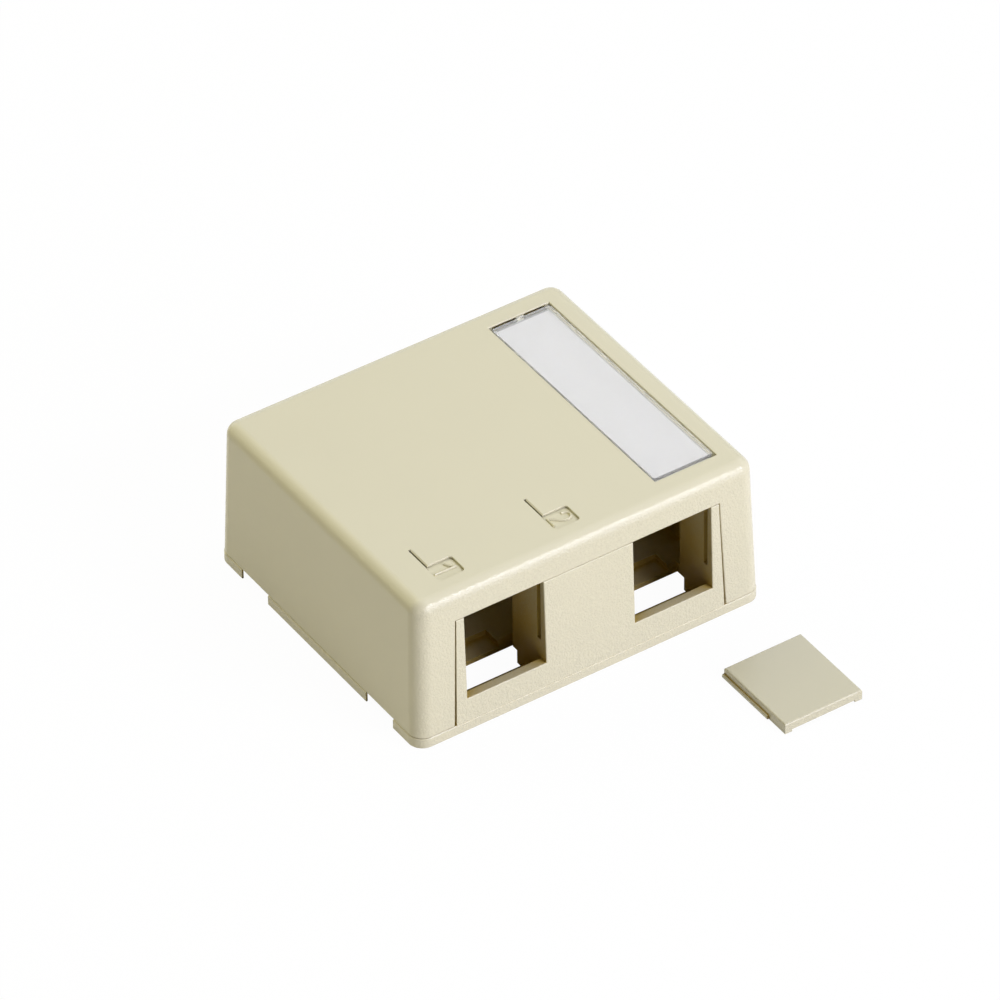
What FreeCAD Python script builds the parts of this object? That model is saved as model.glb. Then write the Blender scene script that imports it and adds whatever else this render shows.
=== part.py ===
import FreeCAD, Part
import math
import os
from FreeCAD import Vector

# Two-port surface mount jack box, in millimetres. +X is to the right seen from the front, +Y to the
# back, +Z up. The origin is the centre of the base's underside.

# Base plate, which shows as a low flange all round
base_width = 66.15
base_depth = 58.45
base_corner = 2.6
plate_t = 1.9
plate_bevel = 0.15       # upper edge of the flange
plate_foot_bevel = 0.12  # lower edge

# Cover shell
box_height = 28.25
flange_step = 0.07       # the flange stands proud of the cover by this
seat_gap = 0.18          # between the cover's lower edge and the flange
side_draft = 0.9         # each wall leans in by this over the cover's height
cover_corner = 2.6
cover_wall = 2.0
cover_roof = 2.2
cover_inner_corner = 1.2
top_edge_r = 2.2
edge_r = 0.2             # small moulded radius on the visible edges

# Front panel of the base, in the cover's cut-out
panel_top = 22.68
panel_side_top = 1.49    # beside the port at the panel's top
panel_side_bottom = 2.2  # and at its foot
panel_set_back = 1.75    # from the base's front edge to the panel's back face
seam_top = 0.15          # gap to the cover at the panel's top corners
seam_bottom = 0.33       # and at its lower corners
seam_over = 0.08         # gap above the panel

# Keystone ports
port_width = 14.92
port_pitch = 31.93
port_sill = 6.4

# Fins that form each port's channel
fin_t_inner = 1.8
fin_t_outer = 1.4
fin_top = 22.35
fin_reach_inner = 8.07   # behind the panel
fin_reach_outer = 7.62
fin_toe_step = 1.2       # the foot ends this far short of the fin
fin_toe_top = 3.15
fin_toe_low = 1.05
fin_foot_low = 0.5
slot_width = 1.02        # relief slot between panel and fin
slot_foot = 10.15

# Floor slots and sunk pads behind the ports
floor_slot_gap = 4.63    # behind the panel
floor_slot_length = 6.65
floor_slot_side_inner = 2.53
floor_slot_side_outer = 2.1
floor_slot_lip_r = 0.9
pad_side_inner = 0.52
pad_side_outer = 0.4
pad_length = 3.8
pad_depth = 0.95

# Pry notches in the flange, with the snap arms behind them
notch_set_back = 11.0    # notch centre from the base's front and rear edges
notch_length = 7.8
notch_depth = 2.4
notch_hollow = 2.5       # the flange is hollow this far past each end of a notch
notch_skin = 0.35
arm_length = 6.6
arm_t = 1.2
arm_height = 8.2
nose_reach = 0.6
nose_height = 2.0
nose_clear = 0.12
arm_set_back = 0.1       # from the notch's inner face
snap_pocket_depth = 0.8
snap_pocket_margin = 0.4

# Locating ribs inside the cover's walls
rib_t = 1.2
rib_height = 3.5
rib_clear = 0.4
side_rib_length = 24.0
rear_rib_length = 44.0

# Mounting screws and cable entry in the floor
screw_hole_r = 2.1
screw_spacing = 40.0
screw_y = 6.0
screw_head_r = 4.0
boss_r = 5.2
boss_height = 1.2
entry_width = 24.0
entry_depth = 12.0
entry_y = 16.0
entry_corner = 3.0
tie_width = 7.0
tie_depth = 2.6
tie_height = 4.2
tie_bar = 1.4
tie_x = 14.0
tie_y = -3.0

# Break-out thinned from inside in the cover's rear wall
break_width = 14.0
break_height = 9.0
break_skin = 0.8

# Label recess in the top, with window and paper
recess_width = 11.81
recess_depth = 1.25
recess_side_margin = 4.24
recess_front_margin = 4.7
recess_rear_margin = 4.6
label_slot_width = 0.85
label_slot_inset = 0.75
label_tab_width = 1.4
label_lip = 0.25         # edge of the roof over the undercut behind the slots
label_lip_root = 1.4
label_undercut = 2.6
paper_t = 0.15
paper_clear = 0.08
window_left_gap = 0.15   # between the window and the recess's walls
window_right_gap = 0.2
window_near_gap = 0.6
window_far_gap = 0.5
window_tab_gap = 0.2
window_top_drop = 0.03
window_skin = 0.75
window_wall = 0.4
window_bevel = 0.1
window_corner = 0.6
window_lift = 0.03

# Sunk port marks in the top
mark_groove_width = 0.58
mark_groove_foot = 0.25  # the groove's right wall slopes in to this width
mark_groove_slope = 0.2  # and leans back over this width along its top
mark_groove_brow = 0.15
mark_groove_length = 4.8
mark_groove_depth = 0.5
mark_width = 4.85
mark_length = 4.1
mark_depth = 0.42
mark_corner = 0.6
mark_bevel = 0.06
mark_front_margin = 8.0
mark_side_margin = 6.87
mark_pitch = 21.7
recess_bevel = 0.1

# Blank insert, lying face up beside the box
blank_clear = 0.03
blank_over = 0.4         # longer than the port's opening by this
blank_t = 1.9
blank_edge_r = 0.3
blank_wing_t = 0.8
blank_wing_reach = 0.42
blank_wing_r = 0.3
blank_relief = 0.42
blank_rail = 1.35
blank_head = 1.5
blank_gap = 12.39        # in front of the base
blank_side = 8.8         # its centre from the base's right edge

half_w = base_width / 2
half_d = base_depth / 2
cover_foot = plate_t + seat_gap
port_inner = (port_pitch - port_width) / 2
port_outer = (port_pitch + port_width) / 2
panel_half_top = port_outer + panel_side_top
panel_half_bottom = port_outer + panel_side_bottom
panel_back = half_d - panel_set_back
slot_rear = panel_back - slot_width
floor_slot_front = panel_back - floor_slot_gap
floor_slot_rear = floor_slot_front - floor_slot_length
floor_slot_inner = port_inner - floor_slot_side_inner
floor_slot_outer = port_outer + floor_slot_side_outer
notch_y = half_d - notch_set_back
cut_top = panel_top + seam_over
top_half_w = half_w - flange_step - side_draft
top_half_d = half_d - flange_step - side_draft
recess_right = top_half_w - recess_side_margin
recess_x = recess_right - recess_width
recess_front = -top_half_d + recess_front_margin
recess_rear = top_half_d - recess_rear_margin
mark_1_x = -top_half_w + mark_side_margin
mark_y = -top_half_d + mark_front_margin
blank_x = half_w - blank_side
blank_rear = -half_d - blank_gap


def inset(z):
    """Distance of the cover's outer faces inside the flange's outline at height z."""
    return flange_step + side_draft * (z - cover_foot) / (box_height - cover_foot)


def plan_wire(hx, hy, r, z):
    """Rounded rectangle of half sizes hx, hy at height z."""
    k = r * (1 - math.sqrt(0.5))
    e = []
    e.append(Part.LineSegment(Vector(-hx + r, -hy, z), Vector(hx - r, -hy, z)).toShape())
    e.append(Part.Arc(Vector(hx - r, -hy, z), Vector(hx - k, -hy + k, z), Vector(hx, -hy + r, z)).toShape())
    e.append(Part.LineSegment(Vector(hx, -hy + r, z), Vector(hx, hy - r, z)).toShape())
    e.append(Part.Arc(Vector(hx, hy - r, z), Vector(hx - k, hy - k, z), Vector(hx - r, hy, z)).toShape())
    e.append(Part.LineSegment(Vector(hx - r, hy, z), Vector(-hx + r, hy, z)).toShape())
    e.append(Part.Arc(Vector(-hx + r, hy, z), Vector(-hx + k, hy - k, z), Vector(-hx, hy - r, z)).toShape())
    e.append(Part.LineSegment(Vector(-hx, hy - r, z), Vector(-hx, -hy + r, z)).toShape())
    e.append(Part.Arc(Vector(-hx, -hy + r, z), Vector(-hx + k, -hy + k, z), Vector(-hx + r, -hy, z)).toShape())
    return Part.Wire(e)


def frustum(z0, z1, extra, r):
    """Drafted block between two heights, inside the cover's outer faces by extra, its corners rounded."""
    x0 = half_w - inset(z0) - extra
    y0 = half_d - inset(z0) - extra
    x1 = half_w - inset(z1) - extra
    y1 = half_d - inset(z1) - extra
    solid = Part.makeWedge(-x0, z0, -y0, -y1, -x1, x0, z1, y0, y1, x1)
    solid.rotate(Vector(0, 0, 0), Vector(1, 0, 0), 90)
    return solid.makeFillet(r, [e for e in solid.Edges if e.BoundBox.ZLength > (z1 - z0) / 2])


def block(x0, x1, y0, y1, z0, z1):
    return Part.makeBox(x1 - x0, y1 - y0, z1 - z0, Vector(x0, y0, z0))


def rounded_block(x0, x1, y0, y1, z0, z1, r):
    """Upright block with its four vertical edges rounded."""
    wire = plan_wire((x1 - x0) / 2, (y1 - y0) / 2, r, z0)
    wire.translate(Vector((x0 + x1) / 2, (y0 + y1) / 2, 0))
    return Part.Face(wire).extrude(Vector(0, 0, z1 - z0))


def prism_x(points, x0, x1):
    """Profile of (y, z) points pushed along X."""
    wire = Part.makePolygon([Vector(x0, y, z) for y, z in points + points[:1]])
    return Part.Face(wire).extrude(Vector(x1 - x0, 0, 0))


def prism_y(points, y0, y1):
    """Profile of (x, z) points pushed along Y."""
    wire = Part.makePolygon([Vector(x, y0, z) for x, z in points + points[:1]])
    return Part.Face(wire).extrude(Vector(0, y1 - y0, 0))


def both_sides(shape):
    """The shape and its mirror image in the middle plane."""
    return [shape, shape.mirror(Vector(0, 0, 0), Vector(1, 0, 0))]


def edges_with(shape, test):
    """Edges whose two ends and middle all pass the test."""
    found = []
    for e in shape.Edges:
        ends = [v.Point for v in e.Vertexes]
        mid = e.valueAt((e.FirstParameter + e.LastParameter) / 2)
        if ends and all(test(p) for p in ends + [mid]):
            found.append(e)
    return found


def at(value, target):
    return abs(value - target) < 1e-4


def on_front(p):
    """True for a point on the drafted front face."""
    return at(p.y, -half_d + inset(p.z))


def front_panel():
    """Trapezoid panel with the two ports open to its top edge."""
    low = plate_t / 2
    over = panel_half_bottom + (panel_half_bottom - panel_half_top) * plate_t / (2 * (panel_top - plate_t))
    outline = [(-over, low), (over, low), (panel_half_top, panel_top), (-panel_half_top, panel_top)]
    panel = prism_y(outline, -half_d - 1, half_d)
    lean = [(-half_d + inset(low), low), (-panel_back, low), (-panel_back, panel_top),
            (-half_d + inset(panel_top), panel_top)]
    panel = panel.common(prism_x(lean, -half_w, half_w))
    port = block(port_inner, port_outer, -half_d - 1, 0, port_sill, box_height)
    panel = panel.cut(Part.makeCompound(both_sides(port)))
    rim = edges_with(panel, lambda p: on_front(p) and p.z > low + 0.01)
    rim += edges_with(panel, lambda p: on_front(p) and at(abs(p.x), over))
    return panel.makeFillet(edge_r, rim)


def fin_toe(reach):
    """Rear edge of the foot of a fin that reaches this far behind the panel."""
    return -panel_back + reach - fin_toe_step


def fin(x0, x1, reach):
    """Channel fin: tied to the panel below the slot, free above it, with a stepped foot."""
    tie = -(panel_back + 0.4)
    rear = -panel_back + reach
    toe = fin_toe(reach)
    profile = [(tie, fin_foot_low), (-floor_slot_front, fin_foot_low), (toe, fin_toe_low),
               (toe, fin_toe_top), (rear, fin_toe_top), (rear, fin_top),
               (-slot_rear, fin_top), (-slot_rear, slot_foot), (tie, slot_foot)]
    return prism_x(profile, x0, x1)


def snap_arm():
    """Upright arm behind a pry notch. Its nose is drawn at the reach it has while pressed in."""
    outer = half_w - notch_depth - arm_set_back
    top = plate_t + arm_height
    nose_z = top - nose_height
    wall = half_w - inset(top) - cover_wall
    tip = min(outer + nose_reach, wall - nose_clear)
    profile = [(outer - arm_t, plate_t / 2), (outer, plate_t / 2), (outer, nose_z),
               (tip, nose_z + nose_height * 0.4), (outer, top), (outer - arm_t, top)]
    return prism_y(profile, notch_y - arm_length / 2, notch_y + arm_length / 2)


def tie_bridge():
    """Small bridge that a cable tie passes under."""
    body = block(tie_x - tie_width / 2, tie_x + tie_width / 2, tie_y - tie_depth / 2, tie_y + tie_depth / 2,
                 plate_t / 2, plate_t + tie_height)
    gap = block(tie_x - tie_width / 2 + tie_bar, tie_x + tie_width / 2 - tie_bar, tie_y - tie_depth,
                tie_y + tie_depth, plate_t, plate_t + tie_height - tie_bar)
    return body.cut(gap)


def floor_slot():
    """Opening in the floor behind a port, passing under the feet of its two fins."""
    y0, y1 = -floor_slot_front, -floor_slot_rear
    slot = block(floor_slot_inner, floor_slot_outer, y0, y1, -1, fin_foot_low + 0.01)
    for x0, x1 in ((floor_slot_inner, port_inner - fin_t_inner), (port_inner, port_outer),
                   (port_outer + fin_t_outer, floor_slot_outer)):
        slot = slot.fuse(block(x0, x1, y0, y1, -1, plate_t + 1))
    for x0, x1, reach in ((floor_slot_inner, port_pitch / 2, fin_reach_inner),
                          (port_pitch / 2, floor_slot_outer, fin_reach_outer)):
        slot = slot.fuse(block(x0, x1, fin_toe(reach), y1, -1, plate_t + 0.02))
    return slot


def base():
    """Floor plate, front panel, keystone channels, snap arms, ribs and bosses in one moulding."""
    plate = Part.Face(plan_wire(half_w, half_d, base_corner, 0)).extrude(Vector(0, 0, plate_t))
    plate = plate.makeChamfer(plate_bevel, edges_with(plate, lambda p: at(p.z, plate_t)))
    plate = plate.makeChamfer(plate_foot_bevel, edges_with(plate, lambda p: at(p.z, 0)))
    adds = [front_panel()]
    adds += both_sides(fin(port_inner - fin_t_inner, port_inner, fin_reach_inner))
    adds += both_sides(fin(port_outer, port_outer + fin_t_outer, fin_reach_outer))
    for arm in both_sides(snap_arm()):
        adds += [arm, arm.mirror(Vector(0, 0, 0), Vector(0, 1, 0))]
    side = half_w - inset(plate_t + rib_height) - cover_wall - rib_clear
    rear = half_d - inset(plate_t + rib_height) - cover_wall - rib_clear
    rib_top = plate_t + rib_height
    adds += both_sides(block(side - rib_t, side, -side_rib_length / 2, side_rib_length / 2, plate_t / 2,
                             rib_top))
    adds.append(block(-rear_rib_length / 2, rear_rib_length / 2, rear - rib_t, rear, plate_t / 2, rib_top))
    boss = Part.makeCylinder(boss_r, plate_t / 2 + boss_height, Vector(screw_spacing / 2, screw_y, plate_t / 2))
    adds += both_sides(boss)
    adds += both_sides(tie_bridge())
    body = plate.multiFuse(adds)

    cuts = []
    notch = block(half_w - notch_depth, half_w + 1, notch_y - notch_length / 2, notch_y + notch_length / 2,
                  -1, plate_t + 0.01)
    reach = notch_length / 2 + notch_hollow
    hollow = block(half_w - notch_depth, half_w - notch_skin, notch_y - reach, notch_y + reach, -1,
                   plate_t - notch_skin)
    for n in both_sides(notch) + both_sides(hollow):
        cuts += [n, n.mirror(Vector(0, 0, 0), Vector(0, 1, 0))]
    cuts += both_sides(floor_slot())
    # The slot's rear lip is rounded where the cable bends over it.
    y, z = -floor_slot_rear + floor_slot_lip_r, plate_t - floor_slot_lip_r
    lip = Part.makeCylinder(floor_slot_lip_r, floor_slot_outer - floor_slot_inner,
                            Vector(floor_slot_inner, y, z), Vector(1, 0, 0))
    corner = block(floor_slot_inner, floor_slot_outer, -floor_slot_rear - 0.01, y, z, plate_t + 0.01)
    cuts += both_sides(corner.cut(lip))
    pad = block(port_inner + pad_side_inner, port_outer + pad_side_outer, -floor_slot_rear - 0.01,
                -floor_slot_rear + pad_length, plate_t - pad_depth, plate_t + 1)
    cuts += both_sides(pad)
    hole = Part.makeCylinder(screw_hole_r, 20, Vector(screw_spacing / 2, screw_y, -5))
    sink_h = screw_head_r - screw_hole_r
    sink = Part.makeCone(screw_hole_r, screw_head_r, sink_h,
                         Vector(screw_spacing / 2, screw_y, plate_t + boss_height - sink_h))
    cuts += both_sides(hole) + both_sides(sink)
    cuts.append(rounded_block(-entry_width / 2, entry_width / 2, entry_y - entry_depth / 2,
                              entry_y + entry_depth / 2, -1, plate_t + 1, entry_corner))
    return body.cut(Part.makeCompound(cuts))


def on_rim(p, x0, x1):
    """True for a point on the rim of a cut in the flat top, between two distances from the left."""
    return at(p.z, box_height) and x0 < p.x < x1 and abs(p.y) < top_half_d - top_edge_r - 0.5


def port_mark(x):
    """Sunk square that numbers a port."""
    return rounded_block(x, x + mark_width, mark_y - mark_length, mark_y, box_height - mark_depth,
                         box_height + 1, mark_corner)


def leader_groove(x):
    """Groove that runs back from a sunk square's corner."""
    low = box_height - mark_groove_depth
    profile = [(x, low), (x + mark_groove_foot, low),
               (x + mark_groove_width - mark_groove_slope, box_height - mark_groove_brow),
               (x + mark_groove_width, box_height),
               (x + mark_groove_width, box_height + 1), (x, box_height + 1)]
    return prism_y(profile, mark_y - mark_corner, mark_y + mark_groove_length)


def cover():
    """Drafted shell with the front cut-out, label recess, port marks and snap pockets."""
    outer = frustum(cover_foot, box_height, 0, cover_corner)
    outer = outer.makeFillet(top_edge_r, edges_with(outer, lambda p: at(p.z, box_height)))
    inner = frustum(cover_foot - 1, box_height - cover_roof, cover_wall, cover_inner_corner)

    slope = (panel_half_bottom + seam_bottom - panel_half_top - seam_top) / (panel_top - cover_foot)
    top_half = panel_half_top + seam_top - slope * seam_over
    low_half = panel_half_bottom + seam_bottom + slope
    cut = prism_y([(-low_half, cover_foot - 1), (low_half, cover_foot - 1), (top_half, cut_top),
                   (-top_half, cut_top)], -half_d - 1, -half_d / 2)
    shell = outer.cut(cut)
    side = edges_with(shell, lambda p: on_front(p) and abs(p.x) < half_w - cover_corner - 1
                      and p.z < cut_top + 0.01)
    rim = [e for e in side if e.BoundBox.ZMax > cover_foot + 1]
    shell = shell.makeFillet(edge_r, rim).cut(inner)

    recess = block(recess_x, recess_right, recess_front, recess_rear, box_height - recess_depth,
                   box_height + 1)
    marks = [port_mark(mark_1_x), port_mark(mark_1_x + mark_pitch)]
    shell = shell.cut(Part.makeCompound([recess] + marks))
    left = top_edge_r - top_half_w + 0.5
    shell = shell.makeChamfer(mark_bevel, edges_with(shell, lambda p: on_rim(p, left, recess_x - 0.5)))
    shell = shell.makeChamfer(recess_bevel, edges_with(shell, lambda p: on_rim(p, recess_x - 0.5, half_w)
                                                       and p.x < recess_right + 0.5))

    cuts = [leader_groove(mark_1_x), leader_groove(mark_1_x + mark_pitch)]
    far = recess_rear
    low = box_height - cover_roof - 1
    under = [(far - label_slot_width, low), (far - label_slot_width, box_height - label_lip),
             (far, box_height - label_lip), (far + label_undercut, box_height - label_lip_root),
             (far + label_undercut, low)]
    middle = (recess_x + recess_right) / 2
    for x0, x1 in ((recess_x + label_slot_inset, middle - label_tab_width / 2),
                   (middle + label_tab_width / 2, recess_right - label_slot_inset)):
        cuts.append(prism_x(under, x0, x1))
    nose_low = plate_t + arm_height - nose_height - snap_pocket_margin
    nose_top = plate_t + arm_height + snap_pocket_margin
    wall = half_w - inset(nose_low) - cover_wall
    pocket = block(wall - 1, wall + snap_pocket_depth, notch_y - notch_length / 2, notch_y + notch_length / 2,
                   nose_low, nose_top)
    for p in both_sides(pocket):
        cuts += [p, p.mirror(Vector(0, 0, 0), Vector(0, 1, 0))]
    skin = half_d - inset(cover_foot + break_height) - break_skin
    cuts.append(block(-break_width / 2, break_width / 2, skin - cover_wall, skin, cover_foot - 1,
                      cover_foot + break_height))
    return shell.cut(Part.makeCompound(cuts))


def window_hollow():
    """Limits in X and Y of the shallow space under the window."""
    x0 = recess_x + window_left_gap + window_wall
    x1 = recess_right - window_right_gap - window_wall
    y0 = recess_front + window_near_gap + window_wall
    y1 = recess_rear - window_far_gap - window_wall
    return x0, x1, y0, y1


def label():
    """Paper strip on the recess floor, under the window."""
    x0, x1, y0, y1 = window_hollow()
    z = box_height - recess_depth
    return block(x0 + paper_clear, x1 - paper_clear, y0 + paper_clear, y1 - paper_clear, z, z + paper_t)


def label_window():
    """Clear strip with a turned-down rim, a bevelled top edge and a tab at its far end."""
    z0 = box_height - recess_depth + window_lift
    z1 = box_height - window_top_drop
    x0, x1, y0, y1 = window_hollow()
    body = rounded_block(x0 - window_wall, x1 + window_wall, y0 - window_wall, y1 + window_wall, z0, z1,
                         window_corner)
    body = body.makeChamfer(window_bevel, edges_with(body, lambda p: at(p.z, z1)))
    middle = (recess_x + recess_right) / 2
    tab = block(middle - label_tab_width / 2, middle + label_tab_width / 2, y1,
                recess_rear - window_tab_gap, z0, z1 - window_bevel)
    hollow = block(x0, x1, y0, y1, z0 - 1, z1 - window_skin)
    return body.fuse(tab).cut(hollow)


def blank_insert():
    """Port filler: a plate with a wing along each side that drops into the fins' relief slots."""
    w = port_width - 2 * blank_clear
    length = panel_top - port_sill + blank_over
    hw = w / 2
    front = blank_rear - length
    plate = block(blank_x - hw, blank_x + hw, front, blank_rear, 0, blank_t)
    plate = plate.makeFillet(blank_edge_r, edges_with(plate, lambda p: at(p.z, blank_t)))
    wing_length = fin_top - slot_foot
    wing = block(-hw - blank_wing_reach, hw + blank_wing_reach, blank_rear - wing_length, blank_rear, 0,
                 blank_wing_t)
    wing.translate(Vector(blank_x, 0, 0))
    reach = hw + blank_wing_reach
    wing = wing.makeFillet(blank_wing_r, edges_with(wing, lambda p: at(abs(p.x - blank_x), reach)
                                                    and (at(p.z, 0) or at(p.z, blank_wing_t))))
    body = plate.fuse(wing)
    relief = block(blank_x - hw + blank_rail, blank_x + hw - blank_rail, front - 1, blank_rear - blank_head,
                   -1, blank_relief)
    return body.cut(relief)


def main():
    os.makedirs("parts", exist_ok=True)
    nodes = {"base": base(), "cover": cover(), "label": label(), "label_window": label_window(),
             "blank_insert": blank_insert()}
    for name, shape in nodes.items():
        shape = shape.removeSplitter()
        print(name, shape.isValid(), len(shape.Solids), round(shape.Volume, 1))
        shape.exportStep("parts/" + name + ".step")


main()
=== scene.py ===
"""Surface mount jack box: finishes, raised numerals, floor, light and camera."""

import math

import bpy
from bpy.props import FloatProperty, FloatVectorProperty, PointerProperty
from mathutils import Matrix, Vector


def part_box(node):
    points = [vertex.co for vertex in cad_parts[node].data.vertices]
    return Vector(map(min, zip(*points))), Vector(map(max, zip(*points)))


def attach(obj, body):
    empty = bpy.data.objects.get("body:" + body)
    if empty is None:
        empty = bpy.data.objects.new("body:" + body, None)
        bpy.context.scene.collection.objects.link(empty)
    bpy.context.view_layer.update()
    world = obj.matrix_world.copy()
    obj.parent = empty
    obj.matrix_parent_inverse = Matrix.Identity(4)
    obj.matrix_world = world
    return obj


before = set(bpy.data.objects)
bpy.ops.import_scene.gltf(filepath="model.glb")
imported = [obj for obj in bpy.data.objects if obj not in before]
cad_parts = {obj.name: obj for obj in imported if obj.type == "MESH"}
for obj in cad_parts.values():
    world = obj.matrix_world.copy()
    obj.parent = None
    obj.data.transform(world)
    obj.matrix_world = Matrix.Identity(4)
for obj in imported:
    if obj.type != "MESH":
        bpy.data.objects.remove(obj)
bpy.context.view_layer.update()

bl_info = {
    "name": "Surface mount jack box",
    "version": (1, 0, 0),
    "blender": (4, 5, 0),
    "location": "View3D > Sidebar > Jack Box",
    "description": "Dresses a two-port surface mount jack box and sets its stage",
    "category": "Object",
}

MM = 0.001

# Studio lamps a metre from the object: name, azimuth and elevation in degrees, width and height in
# metres, and colour. Each one's power is the setting of the same name.
LAMPS = (
    ("key", 25, 36, (0.40, 0.12), (1.00, 1.00, 1.08)),
    ("low", 20, 16, (0.90, 0.45), (1.00, 1.00, 1.18)),
    ("side", 110, 62, (1.20, 1.20), (0.93, 1.00, 1.15)),
    ("rear", -150, 45, (1.30, 1.30), (1.07, 0.99, 0.60)),
    ("back", 170, 20, (0.90, 0.60), (0.85, 0.97, 1.45)),
)
LAMP_TARGET = (0.0, 0.0, 0.01)

WHITE = (1.0, 1.0, 1.0, 1.0)
FLOOR_PLAIN = (0.80, 0.78, 0.71, 1.0)
FLOOR_SHADOW = (0.95, 0.95, 0.95, 1.0)
FLOOR_SIZE = 6.0
FLOOR_DROP = 0.02 * MM
SKY_PLAIN = (1.0, 0.97, 0.83, 1.0)

# Patches of slightly different ivory, and the numeral's foot below the sunk floor.
CLOUD_SIZE = 14 * MM
NUMERAL_FOOT = 0.02 * MM


# Settings

class PlasticSettings(bpy.types.PropertyGroup):
    """Moulded ivory plastic of the base, the cover and the port blank."""

    ivory: FloatVectorProperty(
        name="Ivory", description="Colour of the plastic", subtype="COLOR", size=3,
        min=0.0, max=1.0, default=(0.650, 0.608, 0.436))
    blank_tone: FloatProperty(
        name="Blank Tone", description="Brightness of the port blank against the box",
        subtype="FACTOR", min=0.5, max=1.2, default=0.87)
    roughness: FloatProperty(
        name="Roughness", description="Roughness of the plastic", subtype="FACTOR",
        min=0.0, max=1.0, default=0.25)
    grain_size: FloatProperty(
        name="Grain Size", description="Size of the moulded grain on the sides",
        unit="LENGTH", min=0.0001, max=0.002, default=0.00034)
    grain_depth: FloatProperty(
        name="Grain Depth", description="Depth of the moulded grain on the sides",
        unit="LENGTH", min=0.0, max=0.0003, default=0.00012)
    # Painted shade inside the box: a darker, browner ivory painted where the piece's own walls are
    # near, standing in for the shade and the light bounced among them, and how near a wall must be
    # for it.
    painted_inner_shade: FloatVectorProperty(
        name="Deep Ivory", description="Colour that the ivory takes on inside the box",
        subtype="COLOR", size=3, min=0.0, max=1.0, default=(0.470, 0.330, 0.075))
    inner_shade_reach: FloatProperty(
        name="Deep Reach", description="How near another wall is for the plastic to look deeper",
        unit="LENGTH", min=0.0005, max=0.2, default=0.080)
    # Painted shade: how narrow a groove, mark or recess of the top is for a darker ivory to be
    # painted on its floor.
    groove_shade_reach: FloatProperty(
        name="Groove Reach", description="How narrow a groove is for its floor to look darker",
        unit="LENGTH", min=0.0001, max=0.01, default=0.0012)


class LabelSettings(bpy.types.PropertyGroup):
    """Paper strip and the clear window over it."""

    paper: FloatVectorProperty(
        name="Paper", description="Colour of the paper strip", subtype="COLOR", size=3,
        min=0.0, max=1.0, default=(0.660, 0.646, 0.640))
    window_tint: FloatVectorProperty(
        name="Window Tint", description="Colour of the clear window", subtype="COLOR", size=3,
        min=0.0, max=1.0, default=(0.96, 0.96, 0.96))
    window_ior: FloatProperty(
        name="Window IOR", description="How strongly the clear window bends light",
        min=1.0, max=2.0, default=1.49)


class NumeralSettings(bpy.types.PropertyGroup):
    """Raised numerals in the two sunk squares."""

    stroke: FloatProperty(
        name="Stroke", description="Width of a numeral's stroke", unit="LENGTH",
        min=0.0001, max=0.001, default=0.00042)
    rise: FloatProperty(
        name="Rise", description="Height of a numeral above the sunk floor", unit="LENGTH",
        min=0.00002, max=0.00042, default=0.00032)
    sunk: FloatProperty(
        name="Square Depth", description="Depth of the sunk square under the top face",
        unit="LENGTH", min=0.0, max=0.001, default=0.00042)
    spacing: FloatProperty(
        name="Spacing", description="From the first numeral to the second", unit="LENGTH",
        min=0.0, max=0.1, default=0.02175)


class StageSettings(bpy.types.PropertyGroup):
    """Floor, light and camera."""

    floor_white: FloatProperty(
        name="Floor White", description="Share of plain white in the floor that the camera sees",
        subtype="FACTOR", min=0.0, max=1.0, default=0.97)
    key_power: FloatProperty(
        name="Key Light", description="Power of the light that draws the front edge's highlight",
        unit="POWER", min=0.0, max=100.0, default=4.1)
    low_power: FloatProperty(
        name="Low Light", description="Power of the large soft light low in front",
        unit="POWER", min=0.0, max=100.0, default=5.8)
    side_power: FloatProperty(
        name="Side Light", description="Power of the soft light at the right",
        unit="POWER", min=0.0, max=100.0, default=4.5)
    rear_power: FloatProperty(
        name="Rear Light", description="Power of the soft light behind on the left",
        unit="POWER", min=0.0, max=100.0, default=6.9)
    back_power: FloatProperty(
        name="Back Light", description="Power of the soft light low behind",
        unit="POWER", min=0.0, max=100.0, default=1.2)
    sky: FloatProperty(
        name="Sky", description="Strength of the even light from all round",
        min=0.0, max=2.0, default=0.0)
    azimuth: FloatProperty(
        name="Azimuth", description="Camera's angle round the object", subtype="ANGLE",
        default=math.radians(-33.3058))
    elevation: FloatProperty(
        name="Elevation", description="Camera's angle above the floor", subtype="ANGLE",
        default=math.radians(39.7882))
    roll: FloatProperty(
        name="Roll", description="Camera's tilt about its own axis", subtype="ANGLE",
        default=math.radians(-0.8878))
    distance: FloatProperty(
        name="Distance", description="From the camera to the point it looks at", unit="LENGTH",
        min=0.1, max=10.0, default=1.295458)
    lens: FloatProperty(
        name="Lens", description="Focal length on a 36 mm sensor, in millimetres", min=10.0,
        max=1000.0, default=292.179)
    aim: FloatVectorProperty(
        name="Aim", description="Point the camera looks at", subtype="TRANSLATION", size=3,
        default=(0.002039, -0.000323, 0.015211))


class JackBoxSettings(bpy.types.PropertyGroup):
    """All settings of the jack box."""

    plastic: PointerProperty(type=PlasticSettings, name="Plastic", description="Ivory plastic")
    label: PointerProperty(type=LabelSettings, name="Label", description="Paper and window")
    numerals: PointerProperty(type=NumeralSettings, name="Numerals", description="Raised numerals")
    stage: PointerProperty(type=StageSettings, name="Stage", description="Floor, light and camera")


# Shader maths

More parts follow.
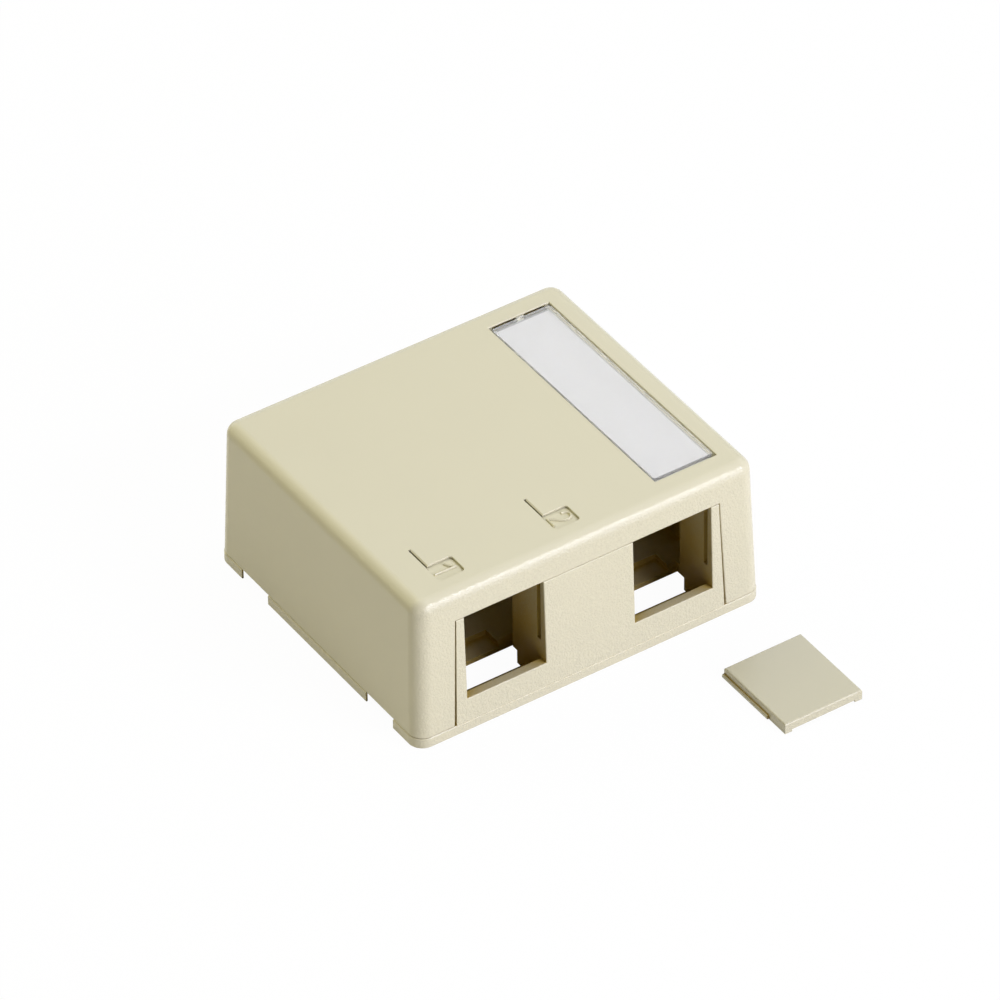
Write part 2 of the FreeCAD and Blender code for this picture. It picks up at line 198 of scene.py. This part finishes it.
class Wire:
    """A socket in a node tree. Arithmetic on it adds Math nodes, and | takes the larger value."""

    def __init__(self, nodes, socket):
        self.nodes = nodes
        self.socket = socket

    def maths(self, operation, *values):
        return self.nodes.node("ShaderNodeMath", {"operation": operation}, dict(enumerate(values)))

    def __add__(self, other):
        return self.maths("ADD", self, other)

    __radd__ = __add__

    def __sub__(self, other):
        return self.maths("SUBTRACT", self, other)

    def __rsub__(self, other):
        return self.maths("SUBTRACT", other, self)

    def __mul__(self, other):
        return self.maths("MULTIPLY", self, other)

    __rmul__ = __mul__

    def __or__(self, other):
        return self.maths("MAXIMUM", self, other)

    def __gt__(self, other):
        return self.maths("GREATER_THAN", self, other)

    def __abs__(self):
        return self.maths("ABSOLUTE", self)


class Nodes:
    """A node tree whose nodes all come from one method."""

    def __init__(self, tree):
        self.tree = tree

    def node(self, kind, settings=None, values=None, out=0):
        """Adds one node: its settings first, then the values or links of its sockets."""
        made = self.tree.nodes.new(kind)
        for key, value in (settings or {}).items():
            if key == "stops":
                while len(made.color_ramp.elements) < len(value):
                    made.color_ramp.elements.new(0.5)
                for stop, (where, grey) in zip(made.color_ramp.elements, value):
                    stop.position = where
                    stop.color = (grey, grey, grey, 1.0)
            else:
                setattr(made, key, value)
        for key, value in (values or {}).items():
            self.feed(made.inputs[key], value)
        return Wire(self, made.outputs[out]) if made.outputs else None

    def feed(self, socket, value):
        if isinstance(value, Wire):
            self.tree.links.new(value.socket, socket)
        else:
            socket.default_value = value

    def place(self):
        """The point's place on its own object."""
        return self.node("ShaderNodeTexCoord", out="Object")

    def part(self, vector, axis):
        """One of a vector's three numbers."""
        return self.node("ShaderNodeSeparateXYZ", values={0: vector}, out=axis)

    def ramp(self, value, *stops):
        return self.node("ShaderNodeValToRGB", {"stops": stops}, {0: value})

    def mix_shaders(self, factor, first, second):
        return self.node("ShaderNodeMixShader", values={0: factor, 1: first, 2: second})


class Finish(Nodes):
    """A material made from nodes, with one Principled shader."""

    def __init__(self, name):
        self.material = bpy.data.materials.new(name)
        self.material.use_nodes = True
        super().__init__(self.material.node_tree)
        self.shader = self.tree.nodes["Principled BSDF"]

    def set(self, **values):
        """Sets sockets of the shader; an underscore stands for a space."""
        for key, value in values.items():
            self.feed(self.shader.inputs[key.replace("_", " ")], value)

    def noise(self, size, detail=2.0, rough=0.5):
        """Noise between 0 and 1 whose patches are about this large, in metres."""
        return self.node("ShaderNodeTexNoise", values={
            "Vector": self.place(), "Scale": 1.0 / size, "Detail": detail, "Roughness": rough})

    def between(self, factor, dark, light):
        """Colour from dark to light as the factor goes from 0 to 1."""
        return self.node("ShaderNodeMix", {"data_type": "RGBA"},
                         {0: factor, 6: dark, 7: light}, out=2)

    def bump(self, height, distance, strength=1.0):
        return self.node("ShaderNodeBump", values={
            "Height": height, "Distance": distance, "Strength": strength})

    def openness(self, reach):
        """1 in the open and less where the same piece has another wall within reach; it sets where
        shade is painted.
        """
        return self.node("ShaderNodeAmbientOcclusion", {"samples": 8, "only_local": True},
                         {"Distance": reach}, out="AO")


def tone(colour, factor):
    return (colour[0] * factor, colour[1] * factor, colour[2] * factor, 1.0)


def grained_faces(f):
    """1 on faces that look forwards or back, falling to 0 on the top and nearly so at the ends."""
    facing = f.node("ShaderNodeNewGeometry", out="Normal")
    across = f.part(facing, "X")
    upright = 1.0 - f.ramp(f.part(facing, "Z"), (0.35, 0.0), (0.98, 1.0))
    return upright * (1.0 - across * across * 0.92)


def below_roof(f):
    """1 inside the box and 0 in the marks and the recess of its top, which splits the painted shade
    inside the box from that in the grooves.
    """
    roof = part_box("cover")[1][2]
    return f.ramp(f.part(f.place(), "Z") * (1.0 / roof), (0.90, 1.0), (0.925, 0.0))


def ivory_plastic(name, settings, level=1.0):
    """Satin moulded plastic with a fine grain at the front and back. Shade is painted into its
    colour: a darker, browner ivory inside the box where the piece's own walls are near, and a
    darker ivory on the floors of the narrow grooves, marks and recess of its top."""
    f = Finish(name)
    cloud = f.noise(CLOUD_SIZE)
    grain = f.noise(settings.grain_size, 2.0, 0.6)
    coarse = f.noise(settings.grain_size * 2.6, 1.0)
    grained = grained_faces(f)
    speck = (grain - 0.5) * grained
    skin = f.between(cloud * 0.3 + 0.35 + speck * 2.2,
                     tone(settings.ivory, 0.955 * level), tone(settings.ivory, 1.045 * level))
    inside = below_roof(f)
    # Painted shade: the darker, browner ivory is painted inside the box where the piece's own walls
    # are near, in place of the shade and bounced light among them.
    painted_inner_shade = f.ramp(f.openness(settings.inner_shade_reach), (0.62, 1.0), (0.80, 0.28), (0.94, 0.0)) * inside
    # Painted shade: a darker ivory is painted on the floors and wall feet of the narrow grooves,
    # marks and recess of the top, where shade falls.
    groove = f.ramp(f.openness(settings.groove_shade_reach), (0.30, 1.0), (0.64, 0.0)) * (1.0 - inside)
    skin = f.between(groove, skin, tone(settings.ivory, 0.33 * level))
    f.set(
        Base_Color=f.between(painted_inner_shade, skin, tone(settings.painted_inner_shade, level)),
        Roughness=settings.roughness + (cloud - 0.5) * 0.04 + speck * 0.03,
        Specular_IOR_Level=0.45,
        Normal=f.bump(grain + coarse * 0.5, settings.grain_depth, grained),
    )
    return f.material


def label_paper(settings):
    """Plain white card with faint fibres."""
    f = Finish("label_paper")
    fibre = f.noise(0.0009, 4.0, 0.7)
    f.set(
        Base_Color=f.between(fibre, tone(settings.paper, 0.97), tone(settings.paper, 1.02)),
        Roughness=0.85 + (fibre - 0.5) * 0.1,
        Normal=f.bump(fibre, 0.00001),
    )
    return f.material


def clear_window(settings):
    """Clear polished plastic with faint handling marks in its gloss."""
    f = Finish("clear_window")
    haze = f.noise(0.006, 3.0, 0.6)
    f.set(
        Base_Color=tone(settings.window_tint, 1.0),
        Roughness=0.01 + haze * 0.03,
        IOR=settings.window_ior,
        Transmission_Weight=0.90,
    )
    return f.material


def wear(node_name, material):
    """Gives a node of the model its material."""
    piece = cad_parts[node_name]
    piece.data.materials.clear()
    piece.data.materials.append(material)


def clear_selection():
    for o in bpy.context.selected_objects:
        o.select_set(False)


# Numerals

# Centre lines of the strokes in the first sunk square, in millimetres from the model's centre. The
# numerals read from the right-hand side, so their tops point along +X.
STROKES = {
    "numeral_1": [
        ("line", [(-24.87, -22.41), (-20.94, -22.53)]),
        ("curve", [(-22.24, -21.08), (-21.94, -21.78), (-21.37, -22.18), (-21.02, -22.53)]),
    ],
    "numeral_2": [
        ("curve", [(-22.07, -21.25), (-21.42, -21.28), (-20.95, -21.75), (-20.92, -22.40),
                   (-21.40, -22.98), (-22.30, -22.98), (-23.12, -22.60), (-24.02, -21.78),
                   (-24.70, -21.28)]),
        ("line", [(-24.72, -21.18), (-24.72, -23.33)]),
    ],
}


def raised_stroke(kind, points, shift, settings, floor):
    """One round-backed stroke standing on the sunk floor, cut flat just below it."""
    clear_selection()
    bpy.ops.curve.primitive_nurbs_path_add(location=(0, 0, 0))
    curve = bpy.context.object
    curve.data.splines.clear()
    spline = curve.data.splines.new("NURBS" if kind == "curve" else "POLY")
    spline.points.add(len(points) - 1)
    for point, (x, y) in zip(spline.points, points):
        point.co = (x * MM + shift, y * MM, floor, 1.0)
    if kind == "curve":
        spline.order_u = 3
        spline.use_endpoint_u = True
        spline.resolution_u = 6
    curve.data.dimensions = "3D"
    curve.data.bevel_depth = settings.stroke / 2
    curve.data.bevel_resolution = 4
    curve.data.use_fill_caps = True
    bpy.ops.object.convert(target="MESH")
    bpy.ops.object.mode_set(mode="EDIT")
    bpy.ops.mesh.select_all(action="SELECT")
    bpy.ops.mesh.remove_doubles(threshold=0.001 * MM)
    bpy.ops.transform.resize(value=(1, 1, settings.rise / (settings.stroke / 2)),
                             center_override=(0, 0, floor))
    bpy.ops.mesh.select_all(action="SELECT")
    bpy.ops.mesh.bisect(plane_co=(0, 0, floor - NUMERAL_FOOT), plane_no=(0, 0, 1),
                        clear_inner=True, use_fill=True)
    bpy.ops.mesh.select_all(action="SELECT")
    bpy.ops.mesh.normals_make_consistent(inside=False)
    bpy.ops.object.mode_set(mode="OBJECT")
    return bpy.context.object


def raised_numeral(name, strokes, shift, settings, floor):
    """The strokes of one numeral, joined."""
    made = [raised_stroke(kind, points, shift, settings, floor) for kind, points in strokes]
    clear_selection()
    for o in made:
        o.select_set(True)
    bpy.context.view_layer.objects.active = made[0]
    bpy.ops.object.join()
    bpy.ops.object.shade_smooth_by_angle(angle=math.radians(40))
    made[0].name = made[0].data.name = name
    return made[0]


# Operators

class JACKBOX_OT_plastic(bpy.types.Operator):
    """Give the base, the cover and the port blank their ivory plastic"""

    bl_idname = "jackbox.plastic"
    bl_label = "Ivory Plastic"

    def execute(self, context):
        settings = context.scene.jackbox.plastic
        wear("base", ivory_plastic("moulded_base", settings))
        wear("cover", ivory_plastic("moulded_cover", settings))
        wear("blank_insert", ivory_plastic("moulded_blank", settings, settings.blank_tone))
        return {"FINISHED"}


class JACKBOX_OT_label(bpy.types.Operator):
    """Give the paper strip and the clear window their materials"""

    bl_idname = "jackbox.label"
    bl_label = "Label and Window"

    def execute(self, context):
        settings = context.scene.jackbox.label
        wear("label", label_paper(settings))
        wear("label_window", clear_window(settings))
        return {"FINISHED"}


class JACKBOX_OT_numerals(bpy.types.Operator):
    """Model the raised numerals in the cover's two sunk squares"""

    bl_idname = "jackbox.numerals"
    bl_label = "Raised Numerals"

    def execute(self, context):
        settings = context.scene.jackbox.numerals
        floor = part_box("cover")[1][2] - settings.sunk
        for i, (name, strokes) in enumerate(STROKES.items()):
            piece = raised_numeral(name, strokes, i * settings.spacing, settings, floor)
            piece.data.materials.clear()
            piece.data.materials.append(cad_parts["cover"].data.materials[0])
            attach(piece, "cover")
        return {"FINISHED"}


class JACKBOX_OT_stage(bpy.types.Operator):
    """Lay the pale floor and set the light and the camera"""

    bl_idname = "jackbox.stage"
    bl_label = "Stage"

    def execute(self, context):
        settings = context.scene.jackbox.stage
        lay_floor(settings)
        light_sky(context.scene, settings)
        for name, azimuth, elevation, size, colour in LAMPS:
            power = getattr(settings, name + "_power")
            soft_light(name + "_light", azimuth, elevation, size, power, colour)
        set_camera(context.scene, settings)
        context.scene.view_settings.view_transform = "Standard"
        return {"FINISHED"}


# Stage

def white_to_the_eye(f, plain, white, open_air=1.0):
    """Mixes a plain shader with a white one that only looking, gloss and clear plastic see.

    Gloss sees the white only where open_air is 1."""
    camera, gloss, clear = (f.node("ShaderNodeLightPath", out=f"Is {kind} Ray")
                            for kind in ("Camera", "Glossy", "Transmission"))
    return f.mix_shaders(camera | gloss * open_air | clear, plain, white)


def outside_box(f):
    """1 on the open floor and 0 on the shaded floor under the box."""
    half_width, half_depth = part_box("base")[1][:2]
    place = f.place()
    return (abs(f.part(place, "X")) > half_width) | (abs(f.part(place, "Y")) > half_depth)


def lay_floor(settings):
    """Large pale sheet, white to the eye apart from the object's shadow."""
    clear_selection()
    bpy.ops.mesh.primitive_plane_add(size=FLOOR_SIZE, location=(0, 0, -FLOOR_DROP))
    floor = bpy.context.object
    floor.name = "floor"
    material = bpy.data.materials.new("floor_sheet")
    material.use_nodes = True
    material.node_tree.nodes.clear()
    f = Nodes(material.node_tree)
    plain = f.node("ShaderNodeBsdfDiffuse", values={0: FLOOR_PLAIN})
    shadow = f.node("ShaderNodeBsdfDiffuse", values={0: FLOOR_SHADOW})
    glow = f.node("ShaderNodeEmission", values={0: WHITE, 1: 1.0})
    white = f.mix_shaders(settings.floor_white, shadow, glow)
    seen = white_to_the_eye(f, plain, white, outside_box(f))
    f.node("ShaderNodeOutputMaterial", values={0: seen})
    floor.data.materials.append(material)


def light_sky(scene, settings):
    """White surroundings, which light the object only as much as the sky setting says."""
    world = bpy.data.worlds.new("studio")
    scene.world = world
    world.use_nodes = True
    world.node_tree.nodes.clear()
    f = Nodes(world.node_tree)
    plain = f.node("ShaderNodeBackground", values={0: SKY_PLAIN, 1: settings.sky})
    white = f.node("ShaderNodeBackground", values={0: WHITE, 1: 1.0})
    f.node("ShaderNodeOutputWorld", values={0: white_to_the_eye(f, plain, white)})


def soft_light(name, azimuth, elevation, size, power, colour):
    """Area light a metre from the object, which it faces, at angles in degrees."""
    clear_selection()
    a, e = math.radians(azimuth), math.radians(elevation)
    place = (math.sin(a) * math.cos(e), -math.cos(a) * math.cos(e), math.sin(e))
    bpy.ops.object.light_add(type="AREA", location=place)
    lamp = bpy.context.object
    lamp.name = name
    lamp.data.shape = "RECTANGLE"
    lamp.data.size, lamp.data.size_y = size
    lamp.data.energy = power
    lamp.data.color = colour
    away = Vector(place) - Vector(LAMP_TARGET)
    lamp.rotation_euler = away.to_track_quat("Z", "Y").to_euler()


def set_camera(scene, settings):
    """Camera at the photograph's angle."""
    clear_selection()
    bpy.ops.object.camera_add()
    camera = bpy.context.object
    camera.name = "photo_camera"
    a, e = settings.azimuth, settings.elevation
    back = Vector((math.sin(a) * math.cos(e), -math.cos(a) * math.cos(e), math.sin(e)))
    right = Vector((0, 0, 1)).cross(back).normalized()
    up = back.cross(right)
    c, s = math.cos(settings.roll), math.sin(settings.roll)
    right, up = c * right + s * up, -s * right + c * up
    turn = Matrix((right, up, back)).transposed().to_4x4()
    camera.matrix_world = Matrix.Translation(Vector(settings.aim) + back * settings.distance) @ turn
    camera.data.sensor_width = 36.0
    camera.data.lens = settings.lens
    camera.data.clip_start = 0.05
    camera.data.clip_end = 20.0
    scene.camera = camera


# Panel and registration

class JACKBOX_PT_tools(bpy.types.Panel):
    """Shows the jack box's settings and a button for each step"""

    bl_idname = "JACKBOX_PT_tools"
    bl_label = "Jack Box"
    bl_space_type = "VIEW_3D"
    bl_region_type = "UI"
    bl_category = "Jack Box"

    def draw(self, context):
        settings = context.scene.jackbox
        for title, group, operator in (
                ("Plastic", settings.plastic, JACKBOX_OT_plastic),
                ("Label", settings.label, JACKBOX_OT_label),
                ("Numerals", settings.numerals, JACKBOX_OT_numerals),
                ("Stage", settings.stage, JACKBOX_OT_stage)):
            box = self.layout.box()
            box.label(text=title)
            for key in group.__annotations__:
                box.prop(group, key)
            box.operator(operator.bl_idname)


CLASSES = (
    PlasticSettings, LabelSettings, NumeralSettings, StageSettings, JackBoxSettings,
    JACKBOX_OT_plastic, JACKBOX_OT_label, JACKBOX_OT_numerals, JACKBOX_OT_stage, JACKBOX_PT_tools,
)


def register():
    for c in CLASSES:
        bpy.utils.register_class(c)
    bpy.types.Scene.jackbox = PointerProperty(type=JackBoxSettings)


def unregister():
    del bpy.types.Scene.jackbox
    for c in reversed(CLASSES):
        bpy.utils.unregister_class(c)


def main():
    register()
    bpy.ops.jackbox.plastic()
    bpy.ops.jackbox.label()
    bpy.ops.jackbox.numerals()
    bpy.ops.jackbox.stage()


if __name__ == "__main__":
    main()
